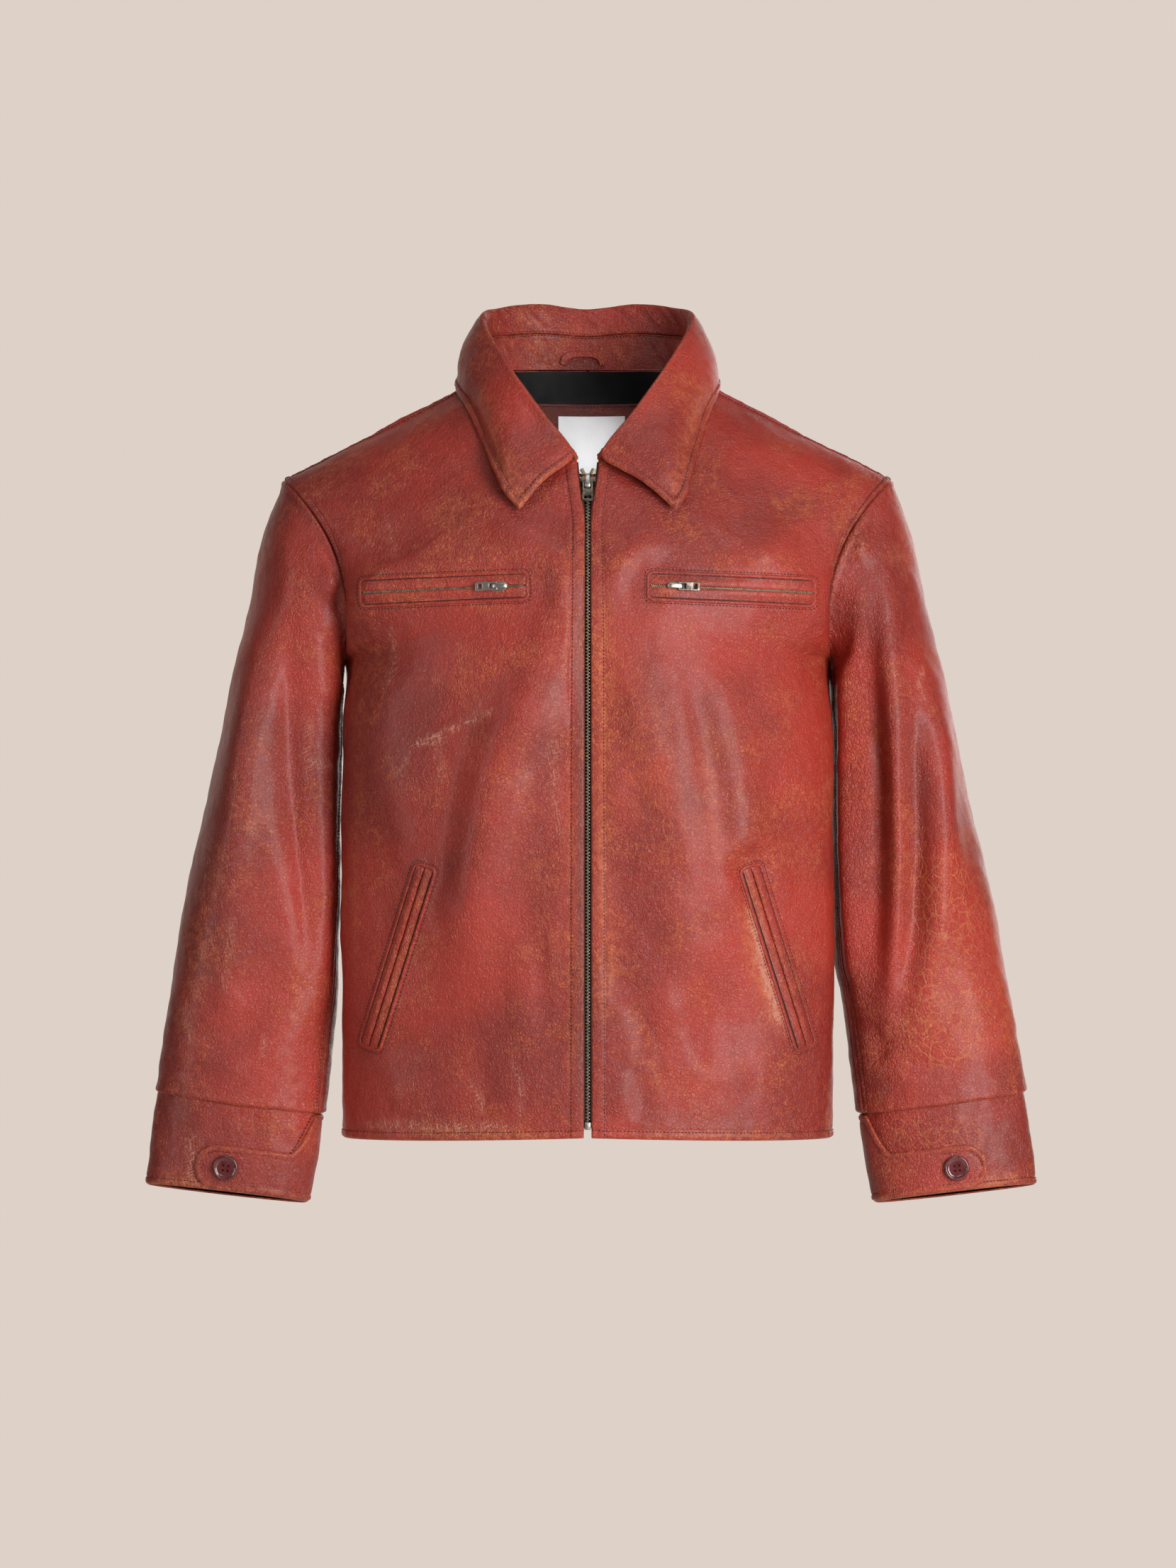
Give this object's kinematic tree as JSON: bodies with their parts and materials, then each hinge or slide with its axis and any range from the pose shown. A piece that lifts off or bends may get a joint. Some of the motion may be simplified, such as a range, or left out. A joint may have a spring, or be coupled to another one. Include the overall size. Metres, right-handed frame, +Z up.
{
  "type": "leather zip jacket",
  "caption": "Worn red-brown leather jacket with a shirt collar, zip front, zipped chest pockets, slanted hand pockets and buttoned cuffs, filled out as if worn.",
  "frame": {"origin": "middle of the neck opening, level with the neck ends of the shoulder seams' middle, where the wearer's neck passes", "axes": "+Z up towards the collar, -Y out of the zip front, +X to the wearer's left sleeve"},
  "size_m": [0.774, 0.2906, 0.7938],
  "materials": {
    "leather": "worn waxed hide with pale cracks and rubbed edges",
    "facing_leather": "unworn hide, darker",
    "satin": "black satin",
    "label_cloth": "plain white weave, bare",
    "zip_tape": "dark woven tape",
    "dark_brass": "antique dark, bright where rubbed",
    "button_gloss": "polished dark red-brown"
  },
  "bodies": {
    "jacket": {"front_right": "leather", "front_left": "leather", "back": "leather", "sleeve_top_right": "leather", "sleeve_top_left": "leather", "sleeve_under_right": "leather", "sleeve_under_left": "leather", "cuff_right": "leather", "cuff_left": "leather", "cuff_tab_right": "leather", "cuff_tab_left": "leather", "collar_fall": "leather", "collar_stand": "leather", "hanger_loop": "leather", "chest_lip_upper_right": "leather", "chest_lip_upper_left": "leather", "chest_lip_lower_right": "leather", "chest_lip_lower_left": "leather", "hand_lip_front_right": "leather", "hand_lip_front_left": "leather", "hand_lip_back_right": "leather", "hand_lip_back_left": "leather", "back_facing": "facing_leather", "neck_lining": "satin", "neck_label": "label_cloth", "zip_tape_right": "zip_tape", "zip_tape_left": "zip_tape", "zip_chain": "dark_brass", "zip_box": "dark_brass", "zip_stop_right": "dark_brass", "zip_stop_left": "dark_brass", "zip_slider": "dark_brass", "chest_chain_right": "dark_brass", "chest_chain_left": "dark_brass", "chest_slider_right": "dark_brass", "chest_slider_left": "dark_brass", "cuff_button_right": "button_gloss", "cuff_button_left": "button_gloss"},
    "zip_pull_body": {"zip_pull": "dark_brass"},
    "chest_pull_right_body": {"chest_pull_right": "dark_brass"},
    "chest_pull_left_body": {"chest_pull_left": "dark_brass"}
  },
  "joints": [
    {"name": "zip_pull_hinge", "type": "hinge", "parent": "jacket", "child": "zip_pull_body", "pos_m": [0, -0.11219, -0.09183], "axis": [-1, 0, 0], "range_deg": [0, 140]},
    {"name": "chest_pull_right_hinge", "type": "hinge", "parent": "jacket", "child": "chest_pull_right_body", "pos_m": [-0.07703, -0.14108, -0.18056], "axis": [0.0036, 0.1338, 0.991], "range_deg": [0, 140]},
    {"name": "chest_pull_left_hinge", "type": "hinge", "parent": "jacket", "child": "chest_pull_left_body", "pos_m": [0.07703, -0.14108, -0.18056], "axis": [0.0036, -0.1338, -0.991], "range_deg": [0, 140]}
  ]
}
